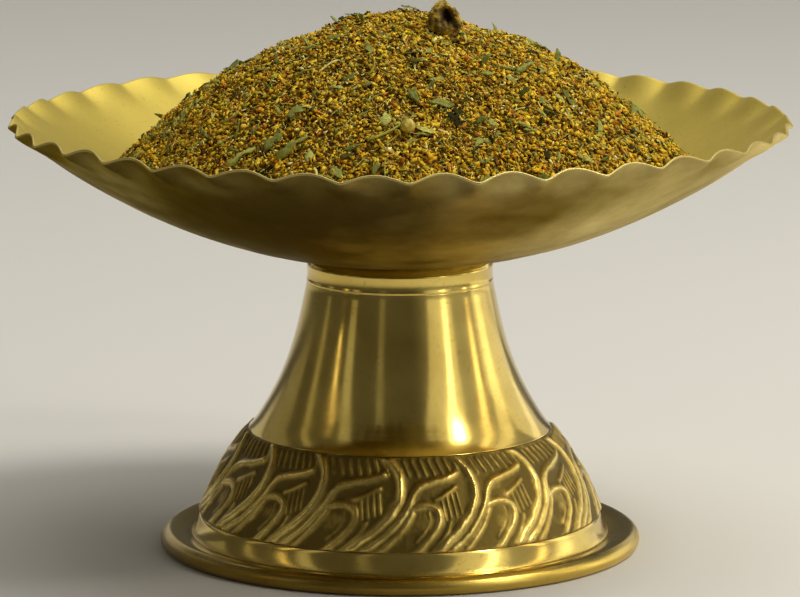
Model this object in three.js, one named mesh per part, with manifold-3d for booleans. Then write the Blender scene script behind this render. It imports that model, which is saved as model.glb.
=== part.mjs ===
// Ground spice blend heaped in a scalloped brass dish on a flared, hollow pedestal.
// Millimetres, +Z up. The origin is the middle of the foot, on the surface it stands on.
// Seen from the front, the viewer stands on the -Y side and +X is to the right.

import * as THREE from "three";
import { mergeVertices } from "three/addons/utils/BufferGeometryUtils.js";
import Module from "manifold-3d";

// Driving dimensions.
const gap = 0.3; // clearance between two pieces that touch

// Dish: a shallow spherical cap with a scalloped rim.
const dishRadius = 75;
const dishCurve = 114.5; // radius of the sphere that the outside of the dish lies on
const dishBottom = 55.5; // height of the lowest point of the dish
const dishWall = 0.9;
const dishBands = 5; // rings of faces from the middle to the rim, on each side
const lobeCount = 38;
const lobeRise = 1.45; // how far a lobe's crown stands above the notch beside it
const lobeSink = 1.1; // how far a notch dips below the plain cap
const lobeLean = 1.2; // how far a lobe's crown leans in
const fluteReach = 11; // how far the flutes run in from the rim before they fade out
const notchAngle = THREE.MathUtils.degToRad(-88.7); // the notch nearest the front
const stepsPerLobe = 4;

// Pedestal: radius and height of each place where its outline changes.
const pedestalWall = 1.3;
const seatThickness = 2.2;
const stemTop = { r: 17.7 }; // its height is where the stem meets the dish
const collar = { r: 17.95, z: 55.2, low: 54.7, round: 0.2 };
const ringGroove = { r: 17.8, z: 52.2 };
const flareStart = { r: 18.05, z: 51.6 };
const flareEnd = { r: 26.9, z: 26.4 };
const shoulder = { r: 29.3, z: 23.1 }; // the embossed band starts below it
const bandWaist = { r: 36.2, z: 12.9 };
const ringTop = { r: 38.9, z: 6.5 }; // the embossed band ends here, above a plain sloping ring
const ringFoot = { r: 40.5, z: 2.6 };
const beadTop = { r: 43.9, z: 3.4 };
const beadWidest = { r: 46.6, z: 1.3 };
const footOuter = 45.2;
const footInner = 41;
// Handles of the curves between those places.
const flareHandles = [{ r: 21.3, z: 35 }, { r: 19.5, z: 44 }];
const coveHandle = { r: 28.1, z: 24.4 };
const bandHandle = { r: 34.4, z: 16.8 };
const waistHandle = { r: 37.8, z: 9.4 };
const ringHandle = { r: 39.5, z: 4.3 };
const beadInside = [{ r: 42.7, z: 3.4 }, { r: 41.4, z: 2.8 }];
const beadOutside = [{ r: 46.6, z: 2.6 }, { r: 45.5, z: 3.4 }];
const footRound = { r: 46.4, z: 0.1 };
const pedestalSteps = 44;
const stepsPerCurve = 4;

// Heap of spice.
const heapPeak = 103.3;
const heapDrop = 0.0094; // fall per square millimetre from the middle
const heapMiddle = { x: 1.2, y: 0.4 };
const heapEdge = 58; // radius where the heap meets the wall of the dish
const heapSteps = 48;
const heapRings = 13;
const heapUnderRings = 5;
// Waves of the heap's edge, which wanders in and out round the dish.
const edgeWaves = [
  { times: 3, size: 0.9, start: 0.7 },
  { times: 7, size: 0.6, start: 2.1 },
  { times: 13, size: 0.4, start: 0 },
];
// Swells and hollows of the heap: where each lies, how high it is and how wide.
const swells = [
  { x: -1, y: 1, rise: 1.0, width: 5 },
  { x: 15, y: 3, rise: -1.0, width: 6 },
  { x: -21, y: 3, rise: -0.9, width: 7 },
  { x: 27, y: 0, rise: 0.5, width: 8 },
  { x: -8, y: -26, rise: 0.7, width: 9 },
  { x: 12, y: -38, rise: -0.6, width: 9 },
  { x: -34, y: -20, rise: 0.5, width: 8 },
  { x: 8, y: 30, rise: 0.6, width: 10 },
];

// Dried curled bud that sits on the front of the peak.
const bud = { x: 9, y: -10.4, width: 6.5, depth: 6.4, height: 7.2, top: 107.2 };
// Its shape, as shares of its own size.
const budLump = 0.07;
const budHollow = { depth: 0.3, spread: 0.05, drop: 0.12 };
const budFlank = 0.14;

// Round pieces.

function revolve(profile, steps) {
  const points = profile.map(({ r, z }) => new THREE.Vector2(r, z));
  return new THREE.LatheGeometry(points, steps).rotateX(Math.PI / 2);
}

// Moves every vertex of a geometry: move is given the point and changes it in place.
function reshape(geometry, move) {
  const position = geometry.getAttribute("position");
  const point = new THREE.Vector3();
  for (let i = 0; i < position.count; i += 1) {
    point.fromBufferAttribute(position, i);
    move(point);
    position.setXYZ(i, point.x, point.y, point.z);
  }
  position.needsUpdate = true;
  geometry.computeVertexNormals();
  return geometry;
}

function smooth(low, high, value) {
  return THREE.MathUtils.smoothstep(value, low, high);
}

// Height at radius r of a sphere of the given radius about the dish's centre of curvature.
function capHeight(sphereRadius, r) {
  return dishBottom + dishCurve - Math.sqrt(sphereRadius ** 2 - r ** 2);
}

// Points of a profile along a cap, from one radius to another.
function capProfile(sphereRadius, fromR, toR, count) {
  return Array.from({ length: count + 1 }, (_, i) => {
    const r = THREE.MathUtils.lerp(fromR, toR, i / count);
    return { r, z: capHeight(sphereRadius, r) };
  });
}

// Dish.

function lobeAt(angle) {
  return Math.abs(Math.sin((lobeCount * (angle - notchAngle)) / 2)) ** 0.8;
}

function makeDish() {
  const insideCurve = dishCurve - dishWall;
  const insideRim = (dishRadius * insideCurve) / dishCurve;
  const outside = capProfile(dishCurve, 0, dishRadius, dishBands);
  const inside = capProfile(insideCurve, insideRim, 0, dishBands);
  const geometry = revolve([...outside, ...inside], lobeCount * stepsPerLobe);
  geometry.rotateZ(notchAngle + Math.PI / 2); // a revolved piece starts at the front
  return reshape(geometry, (point) => {
    const r = Math.hypot(point.x, point.y);
    const near = smooth(dishRadius - fluteReach, dishRadius, r);
    const lobe = lobeAt(Math.atan2(point.y, point.x));
    const scale = r > 0 ? (r - near * lobeLean * lobe) / r : 1;
    point.x *= scale;
    point.y *= scale;
    point.z += near * (lobeRise * lobe - lobeSink);
  });
}

// Pedestal.

function pedestalOutline() {
  const path = new THREE.Path();
  const curveTo = (handle, end) => path.quadraticCurveTo(handle.r, handle.z, end.r, end.z);
  const sweepTo = ([one, two], end) => path.bezierCurveTo(one.r, one.z, two.r, two.z, end.r, end.z);
  path.moveTo(footOuter, 0);
  curveTo(footRound, beadWidest);
  sweepTo(beadOutside, beadTop);
  sweepTo(beadInside, ringFoot);
  curveTo(ringHandle, ringTop);
  curveTo(waistHandle, bandWaist);
  curveTo(bandHandle, shoulder);
  curveTo(coveHandle, flareEnd);
  sweepTo(flareHandles, flareStart);
  path.lineTo(ringGroove.r, ringGroove.z);
  path.lineTo(ringGroove.r, collar.low - collar.round);
  path.lineTo(collar.r, collar.low);
  path.lineTo(collar.r, collar.z);
  path.lineTo(stemTop.r, capHeight(dishCurve + gap, stemTop.r));
  return path.getPoints(stepsPerCurve).map((point) => ({ r: point.x, z: point.y }));
}

// The inside of the wall: the outline moved inwards along its own normals, and upright behind
// the plain ring, so that the foot's lip is full metal.
function insideWall(outline) {
  const top = capHeight(dishCurve + gap, 0) - seatThickness;
  const moved = outline.slice(1, -1).map((point, i) => {
    const before = outline[i];
    const after = outline[i + 2];
    const along = new THREE.Vector2(after.r - before.r, after.z - before.z).normalize();
    return { r: point.r - along.y * pedestalWall, z: point.z + along.x * pedestalWall };
  });
  const wall = moved.filter(({ z }, i) => i % 2 === 0 && z > ringTop.z && z < flareStart.z);
  const low = { r: ringTop.r - pedestalWall, z: ringFoot.z - pedestalWall };
  return [{ r: 0, z: top }, { r: ringGroove.r - pedestalWall, z: top }, ...wall.reverse(), low];
}

function makePedestal() {
  const outline = pedestalOutline();
  const seat = capProfile(dishCurve + gap, stemTop.r, 0, 3);
  const foot = { r: footInner, z: 0 };
  return revolve([...insideWall(outline), foot, ...outline, ...seat.slice(1)], pedestalSteps);
}

// Heap.

function heapHeight(x, y) {
  const fall = heapDrop * ((x - heapMiddle.x) ** 2 + (y - heapMiddle.y) ** 2);
  const uneven = swells.reduce((sum, swell) => {
    const away = (x - swell.x) ** 2 + (y - swell.y) ** 2;
    return sum + swell.rise * Math.exp(-away / (2 * swell.width ** 2));
  }, 0);
  return heapPeak - fall + uneven;
}

function edgeWander(angle) {
  return edgeWaves.reduce((sum, wave) => sum + wave.size * Math.sin(wave.times * angle + wave.start), 0);
}

function makeHeap() {
  const underCurve = dishCurve - dishWall - gap;
  const under = capProfile(underCurve, 0, heapEdge, heapUnderRings);
  const over = Array.from({ length: heapRings }, (_, i) => {
    const r = heapEdge * (1 - (i + 1) / heapRings);
    return { r, z: heapPeak - heapDrop * r ** 2 };
  });
  return reshape(revolve([...under, ...over], heapSteps), (point) => {
    const r = Math.hypot(point.x, point.y);
    const isUnder = point.z < capHeight(underCurve, r) + 0.05;
    const angle = Math.atan2(point.y, point.x);
    const scale = r > 0 ? 1 + (edgeWander(angle) * (r / heapEdge) ** 3) / heapEdge : 1;
    point.x = point.x * scale;
    point.y = point.y * scale;
    const floor = capHeight(underCurve, r * scale);
    point.z = isUnder ? floor : Math.max(heapHeight(point.x, point.y), floor + gap);
  });
}

// Bud.

const wasm = await Module();
wasm.setup();

function toSolid(geometry) {
  const bare = geometry.clone();
  bare.deleteAttribute("normal");
  bare.deleteAttribute("uv");
  const merged = mergeVertices(bare, 1e-3);
  const vertProperties = merged.getAttribute("position").array;
  const triVerts = new Uint32Array(merged.index.array);
  return new wasm.Manifold(new wasm.Mesh({ numProp: 3, vertProperties, triVerts }));
}

function toGeometry(solid) {
  const { vertProperties, triVerts } = solid.getMesh();
  const geometry = new THREE.BufferGeometry();
  geometry.setAttribute("position", new THREE.BufferAttribute(new Float32Array(vertProperties), 3));
  geometry.setIndex(new THREE.BufferAttribute(new Uint32Array(triVerts), 1));
  geometry.computeVertexNormals();
  return geometry;
}

// An arched, lumpy clump with a hollow in its front, cut off where it meets the heap.
function makeBud(heap) {
  const ball = new THREE.SphereGeometry(0.5, 18, 12).rotateX(Math.PI / 2);
  reshape(ball, (point) => {
    const lumps = 1 + budLump * Math.sin(9 * point.x + 7 * point.z) * Math.cos(8 * point.y);
    const away = point.x ** 2 + (point.z + budHollow.drop) ** 2;
    const hollow = budHollow.depth * Math.exp(-away / budHollow.spread) * smooth(0, 0.4, -point.y);
    const rightFlank = budFlank * smooth(0, 0.5, point.x) * smooth(-0.3, 0.3, -point.z);
    point.set(
      bud.x + bud.width * (point.x * lumps + rightFlank - budFlank / 2),
      bud.y + bud.depth * (point.y * lumps + hollow),
      bud.top + bud.height * (point.z * lumps - 0.5),
    );
  });
  const raisedHeap = heap.clone().translate(0, 0, gap);
  return toGeometry(toSolid(ball).subtract(toSolid(raisedHeap)));
}

// The whole.

function named(name, geometry, finish) {
  const mesh = new THREE.Mesh(geometry, new THREE.MeshStandardMaterial(finish));
  mesh.name = name;
  return mesh;
}

const satinBrass = { color: 0xa8964a, roughness: 0.34, metalness: 1 };
const polishedBrass = { color: 0xb09a48, roughness: 0.16, metalness: 1 };
const spice = { color: 0xa87a1e, roughness: 0.95, metalness: 0 };
const driedBud = { color: 0x5a4420, roughness: 0.9, metalness: 0 };

const heapGeometry = makeHeap();

const bowlOfSpice = new THREE.Group();
bowlOfSpice.add(named("dish", makeDish(), satinBrass));
bowlOfSpice.add(named("pedestal", makePedestal(), polishedBrass));
bowlOfSpice.add(named("spice_heap", heapGeometry, spice));
bowlOfSpice.add(named("dried_bud", makeBud(heapGeometry), driedBud));

export default bowlOfSpice;
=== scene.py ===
import math

import bmesh
import bpy
import numpy as np
from mathutils import Matrix, Vector, noise


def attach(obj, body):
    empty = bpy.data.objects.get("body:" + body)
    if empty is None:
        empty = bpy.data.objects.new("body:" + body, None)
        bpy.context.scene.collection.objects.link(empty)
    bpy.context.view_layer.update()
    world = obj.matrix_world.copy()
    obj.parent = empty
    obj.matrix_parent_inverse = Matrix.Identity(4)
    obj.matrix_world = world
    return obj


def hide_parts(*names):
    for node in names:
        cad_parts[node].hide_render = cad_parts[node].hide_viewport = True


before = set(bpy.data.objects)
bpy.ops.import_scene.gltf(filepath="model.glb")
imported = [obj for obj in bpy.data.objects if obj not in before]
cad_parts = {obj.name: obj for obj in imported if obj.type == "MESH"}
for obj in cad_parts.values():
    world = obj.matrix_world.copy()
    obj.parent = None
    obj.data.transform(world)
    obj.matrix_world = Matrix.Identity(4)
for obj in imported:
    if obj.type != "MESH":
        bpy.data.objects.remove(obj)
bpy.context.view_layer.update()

mm = 0.001   # lengths below are in millimetres unless a note says otherwise

# the viewpoint of the picture, 800 x 597 pixels
camera = {
    "eye": (0, -1000, 229.0),
    "lookAt": (0, 0, 48.2),
    "focalPixels": 5258,
    "imageWide": 800,
    "imageHigh": 597,
    "sensor": 36,
    "smaller": 0.99,         # taken a little smaller and higher, so that the whole foot shows
    "higher": 2.5,
}


def unit(vectors):
    return vectors / np.linalg.norm(vectors, axis=-1, keepdims=True)


eye = np.array(camera["eye"], float)
lookDir = unit(np.array(camera["lookAt"], float) - eye)
rightDir = np.array((1.0, 0.0, 0.0))
upDir = np.cross(rightDir, lookDir)


def makeCamera():
    data = bpy.data.cameras.new("camera")
    data.sensor_width = camera["sensor"]
    data.lens = camera["sensor"] * camera["focalPixels"] / camera["imageWide"]
    data.clip_start = 0.05
    data.clip_end = 100
    seer = bpy.data.objects.new("camera", data)
    seer.location = Vector(eye) * mm
    seer.rotation_euler = Vector(lookDir).to_track_quat("-Z", "Y").to_euler()
    bpy.context.collection.objects.link(seer)
    bpy.context.scene.camera = seer


def smooth(low, high, value):
    t = np.clip((value - low) / (high - low), 0, 1)
    return t * t * (3 - 2 * t)


gradients = np.random.default_rng(5).uniform(0, 2 * math.pi, (256, 256))


def noiseAt(x, y, size, layer=0.0):
    # smooth noise from -1 to 1 over the plane, with swells about that size
    u, v = np.asarray(x) / size + layer * 17.3, np.asarray(y) / size + layer * 9.1
    i, j = np.floor(u).astype(int), np.floor(v).astype(int)
    u, v = u - i, v - j
    easeU, easeV = smooth(0, 1, u), smooth(0, 1, v)
    total = 0
    for di, shareU in ((0, 1 - easeU), (1, easeU)):
        for dj, shareV in ((0, 1 - easeV), (1, easeV)):
            turn = gradients[(i + di) % 256, (j + dj) % 256]
            total = total + shareU * shareV * (np.cos(turn) * (u - di) + np.sin(turn) * (v - dj))
    return 1.6 * total


def curveThrough(points, count):
    # a soft line through a few given points
    given = np.array(points, float)
    padded = np.vstack([2 * given[0] - given[1], given, 2 * given[-1] - given[-2]])
    spans = len(given) - 1
    place = np.linspace(0, spans, count)
    k = np.minimum(place.astype(int), spans - 1)
    t = (place - k)[:, None]
    a, b, c, d = padded[k], padded[k + 1], padded[k + 2], padded[k + 3]
    return 0.5 * (2 * b + (c - a) * t + (2 * a - 5 * b + 4 * c - d) * t**2 + (3 * b - a - 3 * c + d) * t**3)


def bezier(points, count):
    # the curve of a few handles, without its first point
    t = np.linspace(0, 1, count + 1)[1:, None]
    rows = [np.array(p, float) for p in points]
    while len(rows) > 1:
        rows = [a * (1 - t) + b * t for a, b in zip(rows, rows[1:])]
    return rows[0].tolist()


def spun(profile, sectors, steps, closed=False):
    # turns a profile of (radius, height) about the upright axis: one sector is spun, then copied round
    bm = bmesh.new()
    share = 2 * math.pi / sectors
    verts = [bm.verts.new((r * mm, 0, z * mm)) for r, z in profile]
    edges = [bm.edges.new(pair) for pair in zip(verts, verts[1:])]
    if closed:
        edges.append(bm.edges.new((verts[-1], verts[0])))
    bmesh.ops.spin(bm, geom=verts + edges, cent=(0, 0, 0), axis=(0, 0, 1), dvec=(0, 0, 0),
                   angle=share, steps=steps)
    sector = bm.verts[:] + bm.edges[:] + bm.faces[:]
    for k in range(1, sectors):
        copied = bmesh.ops.duplicate(bm, geom=sector)["geom"]
        fresh = [g for g in copied if isinstance(g, bmesh.types.BMVert)]
        bmesh.ops.rotate(bm, verts=fresh, cent=(0, 0, 0), matrix=Matrix.Rotation(share * k, 3, "Z"))
    bmesh.ops.remove_doubles(bm, verts=bm.verts, dist=1e-6)
    bmesh.ops.recalc_face_normals(bm, faces=bm.faces)
    return bm


def addPiece(name, mesh, materials):
    piece = bpy.data.objects.new(name, mesh)
    bpy.context.collection.objects.link(piece)
    for material in materials:
        mesh.materials.append(material)
    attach(piece, "root")
    return piece


def toPiece(name, bm, materials):
    mesh = bpy.data.meshes.new(name)
    bm.to_mesh(mesh)
    bm.free()
    mesh.shade_smooth()
    return addPiece(name, mesh, materials)


def readVerts(mesh):
    flat = np.empty(len(mesh.vertices) * 3)
    mesh.vertices.foreach_get("co", flat)
    return flat.reshape(-1, 3) / mm


def writeVerts(mesh, places):
    mesh.vertices.foreach_set("co", (places * mm).ravel())
    mesh.update()


def giveAttribute(mesh, name, values):
    mesh.attributes.new(name, "FLOAT", "POINT").data.foreach_set("value", np.asarray(values, np.float32))


def newMaterial(name, **values):
    material = bpy.data.materials.new(name)
    material.use_nodes = True
    shader = material.node_tree.nodes["Principled BSDF"]
    for socket, value in values.items():
        shader.inputs[socket.replace("_", " ")].default_value = value
    return material, shader


def addNode(material, kind, inputs=None, **settings):
    node = material.node_tree.nodes.new(kind)
    for key, value in settings.items():
        setattr(node, key, value)
    for socket, value in (inputs or {}).items():
        if isinstance(value, bpy.types.NodeSocket):
            material.node_tree.links.new(value, node.inputs[socket])
        else:
            node.inputs[socket].default_value = value
    return node


def link(material, source, target):
    material.node_tree.links.new(source, target)


def mixColour(material, factor, first, second, blend="MIX"):
    node = addNode(material, "ShaderNodeMix", {0: factor, 6: first, 7: second},
                   data_type="RGBA", blend_type=blend)
    return node.outputs[2]


def ramp(material, factor, stops, easing="LINEAR"):
    node = addNode(material, "ShaderNodeValToRGB", {"Fac": factor})
    node.color_ramp.interpolation = easing
    elements = node.color_ramp.elements
    while len(elements) < len(stops):
        elements.new(0.5)
    for element, (position, colour) in zip(elements, stops):
        element.position = position
        element.color = (*colour, 1)
    return node.outputs["Color"]


def remap(material, value, fromLow, fromHigh, toLow, toHigh):
    inputs = {"Value": value, "From Min": fromLow, "From Max": fromHigh, "To Min": toLow, "To Max": toHigh}
    return addNode(material, "ShaderNodeMapRange", inputs).outputs["Result"]


def plus(material, first, second):
    return addNode(material, "ShaderNodeMath", {0: first, 1: second}, operation="ADD").outputs[0]


def objectPlace(material):
    return addNode(material, "ShaderNodeTexCoord").outputs["Object"]


def objectAxis(material, axis):
    return addNode(material, "ShaderNodeSeparateXYZ", {"Vector": objectPlace(material)}).outputs[axis]


def attributeValue(material, name):
    return addNode(material, "ShaderNodeAttribute", attribute_name=name).outputs["Fac"]


def objectNoise(material, scale, detail=3, roughness=0.55, stretch=None):
    where = objectPlace(material)
    if stretch:
        where = addNode(material, "ShaderNodeMapping", {"Vector": where, "Scale": stretch}).outputs["Vector"]
    node = addNode(material, "ShaderNodeTexNoise",
                   {"Vector": where, "Scale": scale, "Detail": detail, "Roughness": roughness})
    return node.outputs["Fac"]


def addBump(material, shader, height, strength, distance):
    inputs = {"Height": height, "Strength": strength, "Distance": distance}
    link(material, addNode(material, "ShaderNodeBump", inputs).outputs["Normal"], shader.inputs["Normal"])


dish = {
    "radius": 74.6,
    "curve": 114.5,          # radius of the sphere that the outside lies on
    "bottom": 55.5,
    "wall": 0.52,
    "lobes": 38,
    "frontNotch": 1.3,       # degrees to the right of the front
    "notchOut": 1.1,         # how far a notch is pressed outwards, along the wall's normal
    "crownIn": 0.8,          # how far a lobe's crown is drawn in
    "fluteReach": 6.5,
    "unevenness": 0.13,      # share by which one lobe differs from the next
    "backShare": 0.6,        # depth of the lobes at the back, as a share of the front ones
    "crownRound": 0.22,
    "edgeRound": 0.8,        # how round the sheet's cut edge is
    "sway": (0.35, 24, 3.1),          # hand-beaten unevenness: height, size and noise layer
    "dents": (0.05, 5.5, 7.7),
    "stepsPerLobe": 18,
    "rings": 34,
    "ringCrowding": 1.6,     # rings lie closer together towards the rim
    "cleanInside": (0.75, 0.60, 0.135),
    # outside, the clean colour is lightened as painted light on the right, and the tarnish is darkened as
    # painted shade on the left
    "litCleanOutside": (0.90, 0.75, 0.32),
    "shadedTarnish": (0.21, 0.155, 0.042),
    "paintedShadeSpan": (-0.018, 0.080),   # tarnish deepened by painted shade on the left, thinning out to painted light on the right, in metres
    "insideShadeSpan": (-0.060, 0.030),    # inside there is a lighter painted shade, and only at the left
    "insideShade": (0.76, 0.76, 0.73),
    "edge": (0.52, 0.43, 0.16),
    "shadedGlanceTint": (0.42, 0.36, 0.20),   # what the metal reflects at a glance, darkened by painted shade on the left and lightened on the right
    "litGlanceTint": (0.96, 0.90, 0.68),
}
capMiddle = dish["bottom"] + dish["curve"]


def capHeight(sphere, r):
    return capMiddle - np.sqrt(sphere**2 - np.minimum(r, sphere * 0.99) ** 2)


def lobeAt(angle):
    # 0 in a notch and 1 on a crown, with the size of each lobe a little its own
    front = np.degrees(angle) + 90
    phase = (front - dish["frontNotch"]) * dish["lobes"] / 360
    number = np.floor(phase) % dish["lobes"]
    size = 1 + dish["unevenness"] * np.sin(number * 12.9898 + 1.3)
    blunt = dish["crownRound"]
    wave = np.sqrt(np.sin(math.pi * phase) ** 2 + blunt**2) - blunt
    return size * wave / (math.sqrt(1 + blunt**2) - blunt)


def makeDish():
    inner = dish["curve"] - dish["wall"]
    slope = math.asin(dish["radius"] / dish["curve"])
    turn = slope * (1 - (1 - np.linspace(0, 1, dish["rings"] + 1)) ** dish["ringCrowding"])
    outside = [(dish["curve"] * math.sin(a), capMiddle - dish["curve"] * math.cos(a)) for a in turn]
    inside = [(inner * math.sin(a), capMiddle - inner * math.cos(a)) for a in turn[::-1]]
    edge = []
    for a in (math.pi / 4, 0, -math.pi / 4):
        out = dish["curve"] + dish["wall"] / 2 * (math.sin(a) - 1)
        up = dish["wall"] / 2 * dish["edgeRound"] * math.cos(a)
        edge.append((out * math.sin(slope) + up * math.cos(slope),
                     capMiddle - out * math.cos(slope) + up * math.sin(slope)))
    bm = spun(outside + edge + inside, dish["lobes"], dish["stepsPerLobe"])
    piece = toPiece("scallopedDish", bm, [dishInsideMaterial(), dishOutsideMaterial()])
    mesh = piece.data
    places = readVerts(mesh)
    x, y = places[:, 0], places[:, 1]
    r, angle = np.hypot(x, y), np.arctan2(y, x)
    normal = unit(places - np.array((0, 0, capMiddle)))
    fade = smooth(dish["radius"] - dish["fluteReach"], dish["radius"], r) ** 1.3
    push = dish["notchOut"] - (dish["notchOut"] + dish["crownIn"]) * lobeAt(angle)
    push *= (1 + dish["backShare"]) / 2 - (1 - dish["backShare"]) / 2 * np.sin(angle)
    sway = dish["sway"][0] * noiseAt(x, y, *dish["sway"][1:]) * smooth(30, 75, r)
    dents = dish["dents"][0] * noiseAt(x, y, *dish["dents"][1:])
    writeVerts(mesh, places + normal * (fade * push + sway + dents)[:, None])
    isOuter = np.zeros(len(mesh.polygons))
    for k, face in enumerate(mesh.polygons):
        isOuter[k] = face.normal.dot(face.center - Vector((0, 0, capMiddle * mm))) > 0
    mesh.polygons.foreach_set("material_index", isOuter.astype(np.int32))
    around = np.linalg.norm(places - np.array((0, 0, capMiddle)), axis=1)
    isCut = (r > dish["radius"] - 1.2) & (around < dish["curve"] - 0.02) & (around > inner + 0.02)
    giveAttribute(mesh, "cutEdge", isCut)
    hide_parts("dish")
    print("dish:", len(mesh.polygons), "faces")


def dishInsideMaterial():
    material, shader = newMaterial("satinBrassInsideShaded", Metallic=1.0)
    cloud = objectNoise(material, 45, 4)
    speck = objectNoise(material, 1400, 2)
    clean = dish["cleanInside"]
    base = ramp(material, cloud, [(0.3, [c * 0.84 for c in clean]), (0.7, clean)])
    spots = ramp(material, speck, [(0.62, (1, 1, 1)), (0.76, (0.78, 0.74, 0.6))])
    # painted shade: the inside is darker towards the left
    side = remap(material, objectAxis(material, "X"), *dish["insideShadeSpan"], 0, 1)
    shade = ramp(material, side, [(0, dish["insideShade"]), (1, (1, 1, 1))])
    tint = mixColour(material, 1.0, base, spots, "MULTIPLY")
    tint = mixColour(material, 1.0, tint, shade, "MULTIPLY")
    brightenEdge(material, shader, tint)
    link(material, remap(material, cloud, 0.3, 0.7, 0.62, 0.55), shader.inputs["Roughness"])
    addBump(material, shader, objectNoise(material, 700, 3), 0.1, 0.0002)
    return material


def brightenEdge(material, shader, tint):
    # the sheet's cut edge is rubbed bright
    colour = mixColour(material, attributeValue(material, "cutEdge"), tint, (*dish["edge"], 1))
    link(material, colour, shader.inputs["Base Color"])


def dishOutsideMaterial():
    material, shader = newMaterial("tarnishAndShadeBrassOutside", Metallic=1.0)
    cloud = objectNoise(material, 30, 4, 0.55, (1, 1, 1.6))
    stain = objectNoise(material, 120, 4, 0.6)
    speck = objectNoise(material, 1500, 2)
    # painted shade: the metal darkens towards the left and lightens towards the right, with tarnish clouds
    # over it
    worn = remap(material, objectAxis(material, "X"), *dish["paintedShadeSpan"], -0.12, 0.42)
    worn = plus(material, worn, cloud)
    clean = ramp(material, worn, [(0.40, dish["shadedTarnish"]), (0.95, dish["litCleanOutside"])])
    stained = ramp(material, stain, [(0.36, (0.72, 0.68, 0.6)), (0.58, (1, 1, 1))])
    spots = ramp(material, speck, [(0.62, (1, 1, 1)), (0.74, (0.7, 0.64, 0.5))])
    tint = mixColour(material, 0.6, clean, stained, "MULTIPLY")
    tint = mixColour(material, 0.5, tint, spots, "MULTIPLY")
    brightenEdge(material, shader, tint)
    link(material, remap(material, stain, 0.3, 0.7, 0.46, 0.38), shader.inputs["Roughness"])
    # the reflection at a glance is also darkened on the left as painted shade
    glance = ramp(material, worn, [(0.40, dish["shadedGlanceTint"]), (0.95, dish["litGlanceTint"])])
    link(material, glance, shader.inputs["Specular Tint"])
    addBump(material, shader, objectNoise(material, 500, 3), 0.07, 0.0002)
    return material


pedestal = {
    "wall": 1.3,
    "seat": 2.2,
    "foot": ((41.0, 0), (45.3, 0)),     # the flat ring that it stands on
    # the outline upwards from the foot: handles and end of each curve as radius and height, and its steps
    "outline": {
        "lipSide": ([(46.4, 0.05), (46.6, 1.3)], 6),
        "lipCrest": ([(46.6, 2.6), (45.5, 3.4), (43.9, 3.4)], 10),
        "lipInside": ([(42.7, 3.4), (41.4, 2.8), (40.5, 2.6)], 10),
        "plainRing": ([(40.1, 2.75), (39.3, 4.6), (38.9, 6.5)], 8),
        "band": ([(37.5, 10.2), (34.9, 16.9), (29.3, 23.1)], 20),
        "shoulder": ([(29.0, 23.4), (28.6, 23.9)], 4),
        "shoulderHollow": ([(27.8, 24.9), (26.9, 26.4)], 6),
        "flare": ([(21.0, 35.6), (19.5, 44.5), (18.05, 51.6)], 22),
        "grooveUnderBead": ([(18.04, 51.9), (17.98, 52.0)], 3),
        "fineBead": ([(18.10, 52.15), (18.06, 52.35)], 4),
        "grooveOverBead": ([(17.98, 52.6), (17.92, 52.8)], 4),
    },
    "neck": 17.92,
    "collar": (17.99, 54.9, 55.3),      # its radius, and the heights of its rounding
    "top": 17.7,
    "gapUnderDish": 0.02,
    "insideFoot": [(37.6, 6.5), (37.6, 1.2)],
    "insideFollows": (2, 32, 3),        # the outline's points past the band's two ends, every third
    "recess": 0.45,          # how far the metal behind the embossed band lies back
    "steps": 30,             # in each twelfth of a turn
    "brass": (0.74, 0.56, 0.155),
    "deepBrass": (0.56, 0.40, 0.095),
    "lipShadeAndRoughHeights": (0.0024, 0.0036),   # below these the lip is darker with painted shade and rougher, in metres
    "lipShadeSides": (-0.01, 0.035),       # and the painted shade is darkest on the left
    "lipShadeLeft": (0.44, 0.39, 0.27),
    "lipShadeRight": (1.0, 0.96, 0.74),
    "lipRougher": 0.16,
}


def underDish(r):
    return float(capHeight(dish["curve"] + pedestal["gapUnderDish"], r))


def pedestalOutline():
    # from the outer edge of the foot up to the seat under the dish, and where the band starts and ends
    path = [pedestal["foot"][1]]
    starts = {}
    for part, (handles, steps) in pedestal["outline"].items():
        starts[part] = len(path) - 1
        path += bezier([path[-1], *handles], steps)
    neck, top = pedestal["neck"], pedestal["top"]
    collar, low, high = pedestal["collar"]
    path.append((neck, low - 0.4))
    path += bezier([(neck, low - 0.2), (collar, low - 0.1), (collar, (low + high) / 2)], 4)
    path += bezier([path[-1], (collar, high + 0.1), (top + 0.1, high + 0.35)], 4)
    path.append((top, underDish(top)))
    return path, starts["band"], starts["shoulder"]


def outlineNormals(path):
    line = np.array(path)
    along = unit(np.gradient(line, axis=0))
    return np.stack([along[:, 1], -along[:, 0]], axis=1)


def makePedestal():
    path, bandFrom, bandTo = pedestalOutline()
    line = np.array(path)
    normals = outlineNormals(path)
    top = float(capHeight(dish["curve"], 0)) - pedestal["seat"]
    past, beyond, every = pedestal["insideFollows"]
    inner = (line - normals * pedestal["wall"])[bandFrom + past:bandTo + beyond:every]
    # the band's metal lies back, so that the embossed ring fits in front of it
    sunk = line.copy()
    sunk[bandFrom + 1:bandTo] -= normals[bandFrom + 1:bandTo] * pedestal["recess"]
    seat = [(r, underDish(r)) for r in (12, 6, 0)]
    hidden = [(0, top), (pedestal["neck"] - pedestal["wall"], top)] + inner[::-1].tolist()
    profile = hidden + pedestal["insideFoot"] + [pedestal["foot"][0]] + sunk.tolist() + seat
    bm = spun(profile, 12, pedestal["steps"])
    piece = toPiece("turnedPedestal", bm, [polishedBrass()])
    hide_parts("pedestal")
    print("pedestal:", len(piece.data.polygons), "faces")


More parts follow.
